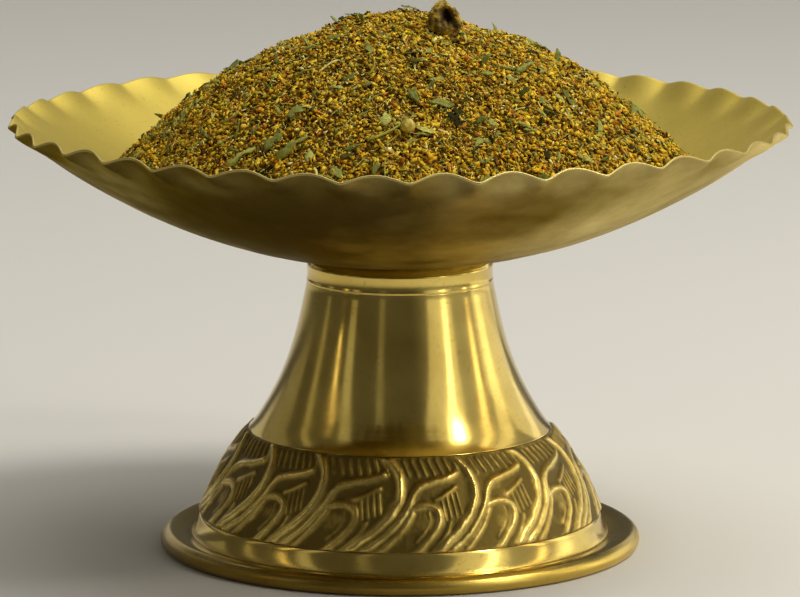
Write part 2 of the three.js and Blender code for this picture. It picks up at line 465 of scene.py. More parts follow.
def polishedBrass():
    material, shader = newMaterial("polishedBrass", Metallic=1.0)
    cloud = objectNoise(material, 60, 4)
    base = ramp(material, cloud, [(0.3, pedestal["deepBrass"]), (0.65, pedestal["brass"])])
    speck = ramp(material, objectNoise(material, 1600, 2), [(0.6, (1, 1, 1)), (0.75, (0.7, 0.62, 0.5))])
    high = objectAxis(material, "Z")
    # painted shade: the lip is darker low down, most of all on the left
    side = remap(material, objectAxis(material, "X"), *pedestal["lipShadeSides"], 0, 1)
    lipPaintedShade = ramp(material, side, [(0, pedestal["lipShadeLeft"]), (1, pedestal["lipShadeRight"])])
    lipPaintedShade = mixColour(material, remap(material, high, *pedestal["lipShadeAndRoughHeights"], 0, 1), lipPaintedShade, (1, 1, 1, 1))
    base = mixColour(material, 1.0, base, lipPaintedShade, "MULTIPLY")
    link(material, mixColour(material, 0.7, base, speck, "MULTIPLY"), shader.inputs["Base Color"])
    rough = remap(material, objectNoise(material, 90, 4), 0.3, 0.7, 0.10, 0.20)
    rougher = remap(material, high, *pedestal["lipShadeAndRoughHeights"], pedestal["lipRougher"], 0)
    link(material, plus(material, rough, rougher), shader.inputs["Roughness"])
    where = objectPlace(material)   # marks of the lathe run round the stem
    rings = addNode(material, "ShaderNodeTexWave",
                    {"Vector": where, "Scale": 320, "Distortion": 1.2, "Detail": 2, "Detail Scale": 2},
                    wave_type="BANDS", bands_direction="Z")
    addBump(material, shader, rings.outputs["Fac"], 0.008, 0.0001)
    return material


leafBand = {
    "motifs": 14,
    "ribAt": (-49.0, -26.0, 0.3, 24.7, 49.9),   # degrees right of the front; the others are evenly spaced
    "stepsPerMotif": 90,
    "rows": 66,
    "radius": 35,            # where degrees are turned into millimetres
    "thickness": 0.75,
    "ground": -0.10,         # how deep the plain ground lies
    "unlike": 0.1,           # cast by hand, so no two motifs are quite alike
    "pits": (0.035, 0.7, 2.2),        # height, size and noise layer
    "wobble": (0.10, 2.6, 6.1),       # cast metal, worn unevenly
    "brass": (0.70, 0.53, 0.155),
    "worn": (0.40, 0.28, 0.066),
    "patina": (0.17, 0.12, 0.028),
}
# lines of one motif: height, width, and points by degrees round from the rib and share of the band
leafLines = {
    "rib": (0.60, 0.95, [
        (-16.5, -0.05), (-14.0, 0.03), (-11.5, 0.12), (-8.3, 0.20), (-5.6, 0.29), (-3.2, 0.38),
        (-1.4, 0.48), (-0.2, 0.58), (0, 0.70), (-0.9, 0.82), (-3.2, 0.92), (-6.0, 1.0)]),
    "leafEdge": (0.52, 0.82, [
        (20, 0.80), (15.8, 0.75), (10.5, 0.71), (6.5, 0.67), (4.2, 0.59), (2.9, 0.49),
        (1.2, 0.40), (-0.8, 0.31), (-3.2, 0.22), (-6.2, 0.13), (-9.4, 0.05), (-12.2, -0.03)]),
    "lowerEdge": (0.42, 0.72, [
        (3.5, 0.40), (2.2, 0.33), (0.4, 0.24), (-2.0, 0.15), (-4.6, 0.06), (-7.4, -0.03)]),
    "hook": (0.48, 0.80, [
        (2.9, 0.44), (6.1, 0.47), (9.2, 0.47), (11.6, 0.43), (12.3, 0.35), (11.3, 0.26), (9.3, 0.17),
        (6.4, 0.07), (3.4, -0.03)]),
    "innerVein": (0.38, 0.56, [(11.4, 0.53), (13.6, 0.56), (16.0, 0.60), (18.8, 0.65)]),
    "lowerVein": (0.34, 0.52, [(15.4, 0.29), (14.2, 0.20), (11.6, 0.10), (8.2, -0.02)]),
    "budVein": (0.28, 0.40, [(8.8, 0.40), (9.0, 0.32), (7.4, 0.22), (4.6, 0.12)]),
}
# short parallel veins: count, first stroke from and to, step from one to the next, height, width
leafStrokes = {
    "leafVeins": (4, (13.4, 0.54), (14.2, 0.33), (1.8, 0.02), 0.30, 0.32),
    "topFlutes": (7, (0.9, 0.95), (2.9, 0.79), (3.1, 0.003), 0.28, 0.38),
}
# swellings of the leaf itself: middle, spread in millimetres, height
leafSwells = {
    "body": ((8.0, 0.31), (2.0, 2.2), 0.24),
    "tip": ((16.5, 0.50), (1.6, 2.2), 0.10),
}


def distanceTo(line, x, y):
    # distance of every grid point from a line of short pieces
    nearest = np.full(x.shape, 1e9)
    for (ax, ay), (bx, by) in zip(line, line[1:]):
        length = (bx - ax) ** 2 + (by - ay) ** 2 + 1e-9
        t = np.clip(((x - ax) * (bx - ax) + (y - ay) * (by - ay)) / length, 0, 1)
        nearest = np.minimum(nearest, np.hypot(x - ax - t * (bx - ax), y - ay - t * (by - ay)))
    return nearest


def leafRelief(height):
    # height of one motif's relief on a grid of its own steps and rows
    steps, rows = leafBand["stepsPerMotif"], leafBand["rows"]
    pitch = 360 / leafBand["motifs"]
    degree = math.radians(1) * leafBand["radius"]
    x, y = np.meshgrid(np.arange(steps) / steps * pitch * degree, np.linspace(0, 1, rows) * height,
                       indexing="ij")
    scale = np.array((degree, height))
    relief = np.zeros(x.shape)
    strokes = [(points, high, wide, 26) for high, wide, points in leafLines.values()]
    for count, start, end, step, high, wide in leafStrokes.values():
        move = np.array(step)
        strokes += [([start + move * k, end + move * k], high, wide, 2) for k in range(count)]
    for points, high, wide, count in strokes:
        line = curveThrough(points, count) * scale
        for turn in (-2, -1, 0, 1):
            away = distanceTo(line + np.array((turn * pitch * degree, 0)), x, y)
            relief = np.maximum(relief, high * np.exp(-((away / wide) ** 2.0)))
    for middle, wide, high in leafSwells.values():
        for turn in (-1, 0, 1):
            across = (x - (middle[0] + turn * pitch) * degree) / wide[0]
            along = (y - middle[1] * height) / wide[1]
            relief = np.maximum(relief, high * np.exp(-(across**2) - along**2))
    return relief


def makeLeafBand():
    path, bandFrom, bandTo = pedestalOutline()
    line = np.array(path)[bandFrom:bandTo + 1]
    normals = outlineNormals(path)[bandFrom:bandTo + 1]
    lengths = np.concatenate([[0], np.cumsum(np.linalg.norm(np.diff(line, axis=0), axis=1))])
    share = np.linspace(0, 1, leafBand["rows"])

    def along(values):
        return np.stack([np.interp(share * lengths[-1], lengths, values[:, i]) for i in (0, 1)], axis=1)

    front, out = along(line), unit(along(normals))
    back = (front - out * leafBand["thickness"])[::13][::-1]
    bm = spun(front.tolist() + back.tolist(), leafBand["motifs"], leafBand["stepsPerMotif"], closed=True)
    piece = toPiece("leafBand", bm, [patinatedBrass()])
    mesh = piece.data
    places = readVerts(mesh)
    r = np.hypot(places[:, 0], places[:, 1])
    turn = (np.degrees(np.arctan2(places[:, 1], places[:, 0])) + 90) % 360
    level = np.interp(places[:, 2], front[:, 1], share)
    onFront = r > np.interp(level, share, front[:, 0]) - 0.05   # the back lies far behind this
    relief = leafRelief(lengths[-1])
    steps = leafBand["stepsPerMotif"]
    ribs = np.array(leafBand["ribAt"])
    even = np.linspace(ribs[-1], ribs[0] + 360, leafBand["motifs"] - len(ribs) + 2)
    ribs = np.concatenate([ribs, even[1:]])
    around = (turn - ribs[0]) % 360 + ribs[0]
    column = np.interp(around, ribs, np.arange(len(ribs))) * steps
    low = np.floor(column).astype(int)
    part = column - low
    row = np.clip(np.rint(level * (leafBand["rows"] - 1)).astype(int), 0, leafBand["rows"] - 1)
    high = relief[low % steps, row] * (1 - part) + relief[(low + 1) % steps, row] * part
    motif = np.floor(column / steps)
    high *= 1 + leafBand["unlike"] * np.sin(motif * 5.3 + 0.8)
    pits = leafBand["pits"][0] * noiseAt(turn * 0.58, places[:, 2], *leafBand["pits"][1:])
    border = smooth(0, 0.025, level) * smooth(1, 0.96, level)
    wobble = leafBand["wobble"][0] * noiseAt(turn * 0.61, places[:, 2], *leafBand["wobble"][1:])
    lift = np.where(onFront, border * (leafBand["ground"] + high * (0.95 + wobble) + wobble * 0.5 + pits), 0)
    outward = np.stack([places[:, 0] / r * np.interp(level, share, out[:, 0]),
                        places[:, 1] / r * np.interp(level, share, out[:, 0]),
                        np.interp(level, share, out[:, 1])], axis=1)
    writeVerts(mesh, places + outward * lift[:, None])
    giveAttribute(mesh, "relief", np.clip(high / 0.6, 0, 1) * border + (1 - border) * 0.35)
    print("leaf band:", len(mesh.polygons), "faces")


def patinatedBrass():
    material, shader = newMaterial("patinatedBrass", Metallic=1.0)
    dirt = remap(material, objectNoise(material, 260, 4, 0.6), 0.3, 0.7, -0.22, 0.22)
    worn = plus(material, attributeValue(material, "relief"), dirt)
    colour = ramp(material, worn, [(0.14, leafBand["patina"]), (0.46, leafBand["worn"]),
                                   (0.80, leafBand["brass"])])
    link(material, colour, shader.inputs["Base Color"])
    link(material, remap(material, worn, 0.1, 0.8, 0.55, 0.27), shader.inputs["Roughness"])
    addBump(material, shader, objectNoise(material, 1500, 3), 0.15, 0.0001)
    return material


heap = {
    "peak": 103.3,
    "drop": 0.0094,
    "middle": (1.2, 0.4),
    "edge": 58.2,
    "edgeWaves": [(3, 0.9, 0.7), (7, 0.6, 2.1), (13, 0.4, 0.0)],   # times round, size and start
    # swells and dips of its surface: place, rise and breadth
    "swells": [(-1, 1, 1.0, 5), (15, 3, -1.3, 6), (-21, 3, -0.9, 7), (27, 0, -0.2, 8),
               (-8, -26, 0.7, 9), (12, -38, -0.6, 9), (-34, -20, 0.5, 8), (8, 30, 0.6, 10)],
    "sunk": 0.80,            # the core lies this far under the loose grains
    "clumps": [(6.5, 0.75, 0.0), (3.0, 0.60, 5.0), (1.2, 0.36, 9.0)],   # size, height and noise layer
    "fringe": (0.25, 0.2, 1.1, 4.0),     # thickness at its edge, and how that varies
    "rings": 146,
    "steps": 40,             # in each of fourteen sectors
    # colours of the core, which are spice colours darkened as painted shade for the gaps between the loose
    # grains
    "deepGapShade": (0.022, 0.012, 0.002),
    "ochre": (0.13, 0.070, 0.005),
    "gold": (0.34, 0.22, 0.014),
    "rust": (0.26, 0.10, 0.01),
    "cream": (0.50, 0.40, 0.10),
}
innerCurve = dish["curve"] - dish["wall"]


def heapHeight(x, y):
    fall = heap["drop"] * ((x - heap["middle"][0]) ** 2 + (y - heap["middle"][1]) ** 2)
    uneven = sum(rise * np.exp(-((x - sx) ** 2 + (y - sy) ** 2) / (2 * wide**2))
                 for sx, sy, rise, wide in heap["swells"])
    return heap["peak"] - fall + uneven


def heapNormal(x, y):
    step = 0.4
    dx = (heapHeight(x + step, y) - heapHeight(x - step, y)) / (2 * step)
    dy = (heapHeight(x, y + step) - heapHeight(x, y - step)) / (2 * step)
    return unit(np.stack([-dx, -dy, np.ones_like(dx)], axis=-1))


def clumpHeight(x, y):
    return sum(high * noiseAt(x, y, size, layer) for size, high, layer in heap["clumps"])


def edgeWander(angle):
    return sum(size * np.sin(times * angle + start) for times, size, start in heap["edgeWaves"])


def onHeap(pixel):
    # the point of the heap that shows at a pixel of the picture
    across = (pixel[0] - camera["imageWide"] / 2) * camera["smaller"]
    down = (pixel[1] - camera["imageHigh"] / 2) * camera["smaller"] - camera["higher"]
    ray = unit(lookDir * camera["focalPixels"] + rightDir * across - upDir * down)
    t = (np.linspace(-62, 62, 1241) - eye[1]) / ray[1]
    x, y, z = (eye[i] + ray[i] * t for i in range(3))
    above = z - heapHeight(x, y)
    under = np.nonzero(above < 0)[0]
    k = under[0] if len(under) else int(np.argmin(above))
    return x[k], y[k]


def makeCore():
    under = innerCurve - 0.03
    edge = heap["edge"]
    floor = [(r, float(capHeight(under, r))) for r in np.linspace(0, edge, 8)]
    top = [(r, heap["peak"] - heap["drop"] * r * r) for r in np.linspace(edge, 0, heap["rings"])[1:]]
    bm = spun(floor + top, 14, heap["steps"])
    piece = toPiece("spiceCore", bm, [coreMaterial()])
    mesh = piece.data
    places = readVerts(mesh)
    x, y, z = places.T
    r = np.hypot(x, y)
    isUnder = z < capHeight(under, r) + 0.05
    grow = 1 + edgeWander(np.arctan2(y, x)) * (r / edge) ** 3 / edge
    x, y, r = x * grow, y * grow, r * grow
    wall = capHeight(under, r)
    surface = heapHeight(x, y) - heap["sunk"] + clumpHeight(x, y)
    least, varied, size, layer = heap["fringe"]
    surface = np.maximum(surface, wall + least + varied * noiseAt(x, y, size, layer))
    writeVerts(mesh, np.stack([x, y, np.where(isUnder, wall, surface)], axis=1))
    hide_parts("spice_heap")
    print("core:", len(mesh.polygons), "faces")


def coreMaterial():
    material, shader = newMaterial("groundSpiceGapShade", Roughness=0.95, Specular_IOR_Level=0.15)
    cells = addNode(material, "ShaderNodeTexVoronoi",
                    {"Vector": objectPlace(material), "Scale": 1500, "Randomness": 1.0})
    grey = addNode(material, "ShaderNodeSeparateColor", {"Color": cells.outputs["Color"]}).outputs[0]
    # the spice colours are darkened so that the core seen between the loose grains stands for their shade,
    # as painted shade
    colour = ramp(material, grey, [(0.0, heap["deepGapShade"]), (0.35, heap["ochre"]), (0.66, heap["gold"]),
                                   (0.88, heap["rust"]), (1.0, heap["cream"])])
    patch = ramp(material, objectNoise(material, 240, 4), [(0.35, (0.62, 0.58, 0.5)), (0.6, (1, 1, 1))])
    link(material, mixColour(material, 0.8, colour, patch, "MULTIPLY"), shader.inputs["Base Color"])
    addBump(material, shader, cells.outputs["Distance"], 0.6, 0.0003)
    return material


random = np.random.default_rng(71)

grains = {
    "count": 46000,
    "shapes": 16,
    "lift": (-0.20, 0.60),   # how far their middles lie from the core
    "tilt": 0.5,
    "patches": (0.10, 4.0, 11.0),     # the kinds gather a little: share, size and noise layer
    "stretch": ((0.75, 0.40, 0.40), (1.65, 1.15, 1.15)),
    "kinds": {   # share, smallest and largest size, dark and light colour
        "goldenGrains": (0.235, 0.45, 1.40, (0.54, 0.34, 0.014), (0.95, 0.69, 0.065)),
        "amberGrains": (0.22, 0.45, 1.35, (0.44, 0.25, 0.012), (0.90, 0.57, 0.036)),
        "ochreGrains": (0.19, 0.45, 1.30, (0.24, 0.13, 0.008), (0.68, 0.42, 0.026)),
        "brownGrains": (0.15, 0.45, 1.25, (0.040, 0.018, 0.004), (0.22, 0.10, 0.013)),
        "oliveGrains": (0.10, 0.45, 1.30, (0.14, 0.130, 0.012), (0.58, 0.53, 0.070)),
        "redGrains": (0.055, 0.50, 1.45, (0.28, 0.085, 0.008), (0.76, 0.30, 0.028)),
        "creamGrains": (0.05, 0.40, 1.10, (0.70, 0.58, 0.15), (0.96, 0.88, 0.42)),
    },
}


def shapeArrays(bm):
    # a small shape as arrays of its points and its triangles, for copying many times
    bmesh.ops.recalc_face_normals(bm, faces=bm.faces)
    bmesh.ops.triangulate(bm, faces=bm.faces)
    bm.verts.index_update()
    points = np.array([v.co[:] for v in bm.verts])
    faces = np.array([[v.index for v in f.verts] for f in bm.faces])
    bm.free()
    return points, faces


def grainShape(number):
    # most bits are broken chips, every fourth is a rounder crumb
    bm = bmesh.new()
    if number % 4:
        bmesh.ops.create_cube(bm, size=0.8)
    else:
        bmesh.ops.create_icosphere(bm, subdivisions=1, radius=0.5)
    for v in bm.verts:
        v.co *= random.uniform(0.50, 1.50)
        v.co.y *= 0.78
        v.co.z *= 0.66
    return shapeArrays(bm)


def flakeShape(curl, twist, point, cup):
    # a dry leaf flake, one long, lying in x, rolled about its length and bent along it
    bm = bmesh.new()
    bmesh.ops.create_grid(bm, x_segments=6, y_segments=3, size=0.5)   # few faces, as it is laid many times
    ragged = random.uniform(0.35, 1.15, (2, 8))
    lean = random.uniform(-0.25, 0.25)
    for v in bm.verts:
        x, y = v.co.x, v.co.y
        side = 0 if y < 0 else 1
        wide = (1 - abs(2 * x) ** point) ** 0.6 * 0.42 * ragged[side, min(int((x + 0.5) * 7.99), 7)]
        y = y * max(wide, 0.05) + lean * x * x
        roll = curl * y / 0.2
        turn = twist * x
        high = 0.12 * math.sin(roll) * y / 0.2 + cup * (0.25 - x * x) + 0.03 * math.sin(17 * x + 9 * y)
        v.co = (x, y * math.cos(turn) - high * math.sin(turn), y * math.sin(turn) + high * math.cos(turn))
    bmesh.ops.recalc_face_normals(bm, faces=bm.faces)
    bmesh.ops.solidify(bm, geom=bm.faces[:], thickness=0.035)
    return shapeArrays(bm)


def stalkShape(bend, sides=5, pieces=4):
    # a thin stalk, one long and one thick before scaling, lying in x
    bm = bmesh.new()
    bmesh.ops.create_circle(bm, cap_ends=True, segments=sides, radius=0.5)
    bmesh.ops.rotate(bm, verts=bm.verts, cent=(0, 0, 0),
                     matrix=Vector((0, 0, 1)).rotation_difference(Vector((1, 0, 0))).to_matrix())
    bmesh.ops.translate(bm, verts=bm.verts, vec=(-0.5, 0, 0))
    end = bm.faces[:]
    for k in range(pieces):
        grown = bmesh.ops.extrude_face_region(bm, geom=end)["geom"]
        if k:   # no walls inside the stalk
            bmesh.ops.delete(bm, geom=[f for f in end if f.is_valid], context="FACES_ONLY")
        end = [g for g in grown if isinstance(g, bmesh.types.BMFace)]
        fresh = [g for g in grown if isinstance(g, bmesh.types.BMVert)]
        bmesh.ops.translate(bm, verts=fresh, vec=(1 / pieces, 0, 0))
    kink = random.uniform(-0.4, 0.4, pieces + 1)
    points, faces = shapeArrays(bm)
    at = np.clip(np.rint((points[:, 0] + 0.5) * pieces).astype(int), 0, pieces)
    swell = 1 + kink[at] * 0.5
    bow = bend * (0.25 - points[:, 0] ** 2)
    return points * np.stack([np.ones_like(swell), swell, swell], axis=1), faces, bow


def scatter(name, shapes, spots, material, flat):
    # copies the shapes onto the spots and joins them into one mesh
    pointSets, faceSets, tones, done = [], [], [], 0
    for k, shape in enumerate(shapes):
        mine = np.arange(len(spots["at"])) % len(shapes) == k
        points, faces = shape[0], shape[1]
        size = spots["size"][mine][:, None, :]
        local = points[None, :, :] * size
        if len(shape) > 2:
            local[:, :, 1] += shape[2][None, :] * size[:, :, 0]
        frameOf = spots["axes"][mine]
        world = np.einsum("nij,nkj->nki", frameOf, local) + spots["at"][mine][:, None, :]
        pointSets.append(world.reshape(-1, 3))
        step = np.arange(mine.sum()) * len(points) + done
        faceSets.append((faces[None] + step[:, None, None]).reshape(-1, 3))
        tones.append(np.repeat(spots["tone"][mine], len(points)))
        done += mine.sum() * len(points)
    places, faces = np.concatenate(pointSets), np.concatenate(faceSets)
    mesh = bpy.data.meshes.new(name)
    mesh.vertices.add(len(places))
    mesh.vertices.foreach_set("co", (places * mm).ravel())
    mesh.loops.add(faces.size)
    mesh.loops.foreach_set("vertex_index", faces.ravel().astype(np.int32))
    mesh.polygons.add(len(faces))
    mesh.polygons.foreach_set("loop_start", np.arange(0, faces.size, 3, dtype=np.int32))
    mesh.update(calc_edges=True)
    if not flat:
        mesh.shade_smooth()
    giveAttribute(mesh, "tone", np.concatenate(tones))
    addPiece(name, mesh, [material])
    print(f"{name}: {len(spots['at'])} bits, {len(faces)} triangles")


def toneMaterial(name, dark, light, roughness=0.85, grainScale=2600):
    # each bit takes its own shade between the two colours, with fine mottling
    material, shader = newMaterial(name, Roughness=roughness, Specular_IOR_Level=0.08)
    colour = mixColour(material, attributeValue(material, "tone"), (*dark, 1), (*light, 1))
    mottle = ramp(material, objectNoise(material, grainScale, 2),
                  [(0.35, (0.66, 0.62, 0.55)), (0.62, (1.1, 1.1, 1.05))])
    link(material, mixColour(material, 0.7, colour, mottle, "MULTIPLY"), shader.inputs["Base Color"])
    return material


def spread(count, reach):
    # points spread evenly over the heap's slope, with a little disorder
    rim = np.linspace(0, reach, 200)
    slope = np.hypot(1, 2 * heap["drop"] * rim) * rim
    area = np.concatenate([[0], np.cumsum((slope[1:] + slope[:-1]) / 2)])
    share = (np.arange(count) + random.uniform(0, 1, count)) / count
    r = np.interp(share, area / area[-1], rim)
    angle = np.arange(count) * math.radians(137.508) + random.normal(0, 0.5, count) / np.maximum(r, 1)
    grow = 1 + edgeWander(angle) * (r / heap["edge"]) ** 3 / heap["edge"]
    return r * grow * np.cos(angle), r * grow * np.sin(angle)


def layOn(x, y, lift, tilt, size, turn=None):
    # spots on the heap: each has a place, its own three axes, a size and a tone
    count = len(x)
    wall = capHeight(innerCurve, np.hypot(x, y))
    base = np.maximum(heapHeight(x, y) - heap["sunk"] + clumpHeight(x, y), wall + 0.75)
    normal = unit(heapNormal(x, y) + random.normal(0, 1, (count, 3)) * np.asarray(tilt).reshape(-1, 1))
    if turn is None:
        turn = random.uniform(0, 2 * math.pi, count)
    across = unit(rightDir - normal * normal[:, :1])
    other = np.cross(normal, across)
    first = across * np.cos(turn)[:, None] + other * np.sin(turn)[:, None]
    axes = np.stack([first, np.cross(normal, first), normal], axis=2)
    at = np.stack([x, y, base], axis=1) + normal * np.asarray(lift).reshape(-1, 1)
    return {"at": at, "axes": axes, "size": size, "tone": random.beta(1.6, 1.6, count)}


def makeGrains():
    shapes = [grainShape(number) for number in range(grains["shapes"])]
    x, y = spread(grains["count"], heap["edge"] - 1.1)
    spots = layOn(x, y, random.uniform(*grains["lift"], len(x)), grains["tilt"], np.ones((len(x), 3)))
    gather, size, layer = grains["patches"]
    draw = random.uniform(0, 1, len(x)) + gather * noiseAt(x, y, size, layer)
    shares = np.cumsum([kind[0] for kind in grains["kinds"].values()])
    kindOf = np.searchsorted(shares[:-1], draw, side="right")
    for k, (name, (share, small, large, dark, light)) in enumerate(grains["kinds"].items()):
        mine = {key: value[kindOf == k] for key, value in spots.items()}
        count = len(mine["at"])
        length = small + (large - small) * random.beta(1.1, 2.6, count)
        mine["size"] = length[:, None] * random.uniform(*grains["stretch"], (count, 3))
        scatter(name, shapes, mine, toneMaterial(name, dark, light), flat=True)


flakes = {
    "sageFlakes": {"count": 740, "long": (1.5, 5.2), "wide": (0.4, 0.95),
                   "dark": (0.09, 0.105, 0.020), "light": (0.39, 0.41, 0.105)},
    "darkFlakes": {"count": 560, "long": (1.2, 3.8), "wide": (0.45, 1.1),
                   "dark": (0.012, 0.012, 0.002), "light": (0.085, 0.080, 0.010)},
    "paleFlakes": {"count": 240, "long": (0.9, 2.4), "wide": (0.35, 0.8),
                   "dark": (0.44, 0.40, 0.05), "light": (0.74, 0.70, 0.22)},
}
stalks = {
    "greenStalks": {"count": 300, "long": (1.8, 5.4), "thick": (0.20, 0.36),
                    "dark": (0.10, 0.105, 0.015), "light": (0.38, 0.38, 0.07)},
    "strawStalks": {"count": 200, "long": (1.2, 4.4), "thick": (0.16, 0.30),
                    "dark": (0.42, 0.34, 0.05), "light": (0.80, 0.72, 0.28)},
    "shortStraws": {"count": 1700, "long": (0.9, 2.6), "thick": (0.14, 0.26),
                    "dark": (0.42, 0.36, 0.04), "light": (0.92, 0.80, 0.26)},
    "shortStems": {"count": 900, "long": (0.9, 2.8), "thick": (0.14, 0.28),
                   "dark": (0.07, 0.070, 0.010), "light": (0.42, 0.42, 0.07)},
}
# bits that stand out in the picture: pixel, length, breadth as a share, turn in degrees, tone
keyBits = {
    "sageFlakes": {
        "upperLeft": ((370, 48), 3.6, 1.1, 100, 0.5),
        "upper": ((428, 50), 3.0, 1.0, 60, 0.6),
        "curled": ((385, 119), 3.6, 1.5, 95, 1.0),
        "longLeft": ((240, 156), 6.8, 0.8, 22, 0.8),
        "darkLeft": ((272, 143), 4.6, 1.3, 38, 0.35),
        "longMiddle": ((293, 149), 7.6, 0.75, 26, 0.55),
        "broadLeft": ((297, 112), 3.8, 1.7, 10, 0.5),
        "byRim": ((337, 170), 3.6, 1.4, 120, 0.6),
        "paleLeft": ((309, 158), 3.0, 1.5, 80, 1.0),
        "right": ((492, 120), 2.4, 1.3, -30, 0.7),
        "pairOne": ((524, 125), 3.2, 0.9, -25, 0.8),
        "pairTwo": ((531, 129), 3.0, 0.8, 5, 0.6),
        "curledRight": ((560, 98), 3.0, 1.1, -50, 1.0),
        "underRight": ((479, 143), 2.6, 1.2, 60, 0.7),
        "lowRight": ((586, 161), 3.6, 0.9, -15, 0.9),
        "skyline": ((525, 36), 2.6, 1.1, 30, 0.5),
        "topRight": ((487, 74), 2.6, 1.1, 20, 0.6),
        "farRight": ((641, 110), 2.4, 1.1, -30, 0.7),
        "farRightLow": ((635, 138), 2.6, 1.0, 10, 0.6),
    },
    "paleFlakes": {
        "rightOfSeed": ((425, 130), 4.2, 0.9, -25, 0.4),
        "topRight": ((502, 41), 2.2, 1.0, 0, 0.7),
    },
    "darkFlakes": {
        "darkOne": ((455, 118), 3.6, 1.3, 110, 0.1),
        "darkTwo": ((459, 108), 3.0, 1.3, 80, 0.3),
        "darkThree": ((449, 110), 2.6, 1.2, 140, 0.2),
        "darkFour": ((463, 101), 2.6, 1.0, 40, 0.6),
        "darkMiddle": ((347, 151), 3.8, 1.5, 70, 0.8),
        "darkRight": ((550, 110), 3.0, 1.0, -35, 0.4),
        "darkLow": ((546, 151), 2.8, 1.1, -60, 0.2),
        "skyline": ((533, 52), 2.8, 1.2, 10, 0.4),
        "farRight": ((660, 140), 2.4, 1.0, 30, 0.4),
        "gapByRim": ((267, 168), 3.4, 1.2, 20, 0.0),
        "gapByRimTwo": ((390, 173), 4.0, 0.8, -12, 0.2),
    },
    "strawStalks": {
        "upperLeft": ((329, 66), 4.6, 1.0, 35, 0.8),
        "thin": ((415, 65), 2.6, 0.9, 95, 0.9),
        "white": ((443, 131), 2.0, 1.2, -25, 1.0),
    },
    "greenStalks": {
        "upper": ((372, 68), 4.4, 1.0, 75, 0.6),
        "arc": ((384, 134), 7.2, 1.3, 32, 0.9),
        "arcTwo": ((391, 137), 5.6, 0.9, 42, 0.8),
        "brownRight": ((511, 125), 4.4, 1.0, 100, 0.1),
        "arch": ((237, 128), 4.4, 1.0, 80, 0.2),
        "archTop": ((229, 118), 4.2, 1.1, 10, 0.7),
    },
}
keyLay = {"lift": 0.75, "tilt": 0.08, "thick": 0.42}


def keySpots(kind, thick):
    if kind not in keyBits:
        return None
    pixels, long, share, turn, tone = zip(*keyBits[kind].values())
    where = np.array([onHeap(pixel) for pixel in pixels])
    long, share = np.array(long), np.array(share)
    side = thick * share if thick else long * share
    size = np.stack([long, side, side if thick else long], axis=1)
    spots = layOn(where[:, 0], where[:, 1], keyLay["lift"], keyLay["tilt"], size, np.radians(turn))
    spots["tone"] = np.array(tone)
    return spots


def joinSpots(first, second):
    return first if second is None else {key: np.concatenate([first[key], second[key]]) for key in first}


def makeFlakes():
    for name, kind in flakes.items():
        shapes = [flakeShape(random.uniform(-1.1, 1.1), random.uniform(-0.9, 0.9), random.uniform(1.6, 3.5),
                             random.uniform(-0.5, 0.7)) for _ in range(7)]
        x, y = spread(kind["count"], heap["edge"] - 3)
        long = random.uniform(*kind["long"], len(x)) * random.beta(2, 2, len(x)) * 1.5
        size = np.stack([long, long * random.uniform(*kind["wide"], len(x)), long], axis=1)
        spots = layOn(x, y, random.uniform(0.15, 0.75, len(x)), 0.50, size)
        material = toneMaterial(name, kind["dark"], kind["light"], 0.75, 1800)
        scatter(name, shapes, joinSpots(spots, keySpots(name, None)), material, flat=False)


def makeStalks():
    for name, kind in stalks.items():
        shapes = [stalkShape(random.uniform(-0.5, 0.5)) for _ in range(6)]
        x, y = spread(kind["count"], heap["edge"] - 3)
        long = random.uniform(*kind["long"], len(x)) * random.uniform(0.4, 1, len(x))
        thick = random.uniform(*kind["thick"], len(x))
        size = np.stack([long, thick, thick], axis=1)
        spots = layOn(x, y, random.uniform(0.2, 0.6, len(x)), 0.22, size)
        spots = joinSpots(spots, keySpots(name, keyLay["thick"]))
        material = toneMaterial(name, kind["dark"], kind["light"], 0.8)
        scatter(name, shapes, spots, material, flat=False)


seed = {"pixel": (408, 133), "across": 2.7, "dark": (0.34, 0.26, 0.045), "light": (0.68, 0.55, 0.13)}


def makeSeed():
    x, y = onHeap(seed["pixel"])
    bm = bmesh.new()
    bmesh.ops.create_icosphere(bm, subdivisions=4, radius=seed["across"] / 2 * mm)
    for v in bm.verts:
        v.co *= 1 + 0.09 * noise.noise(v.co / mm * 1.6) + 0.03 * noise.noise(v.co / mm * 5)
    height = float(heapHeight(x, y)) + seed["across"] * 0.42
    bmesh.ops.translate(bm, verts=bm.verts, vec=Vector((x, y, height)) * mm)
    bmesh.ops.recalc_face_normals(bm, faces=bm.faces)
    material, shader = newMaterial("seedSkin", Roughness=0.85, Specular_IOR_Level=0.2)
    colour = ramp(material, objectNoise(material, 900, 4), [(0.35, seed["dark"]), (0.62, seed["light"])])
    link(material, colour, shader.inputs["Base Color"])
    toPiece("roundSeed", bm, [material])


bud = {
    "at": (8.1, -10.4),
    "size": (5.5, 5.6, 6.6),
    "top": 107.1,
    "lumps": (0.09, 0.05),
    "hollow": (0.62, 0.36, 0.13, 0.15),   # the opening in its front: depth, spread, and where it lies
    "flank": 0.85,                   # how far the right side spreads near the bottom
    "husk": (0.22, 0.145, 0.030),
    "dust": (0.66, 0.49, 0.075),
    "dark": (0.050, 0.030, 0.010),
    # painted shade inside the front opening
    "inside": (0.020, 0.012, 0.006),
}


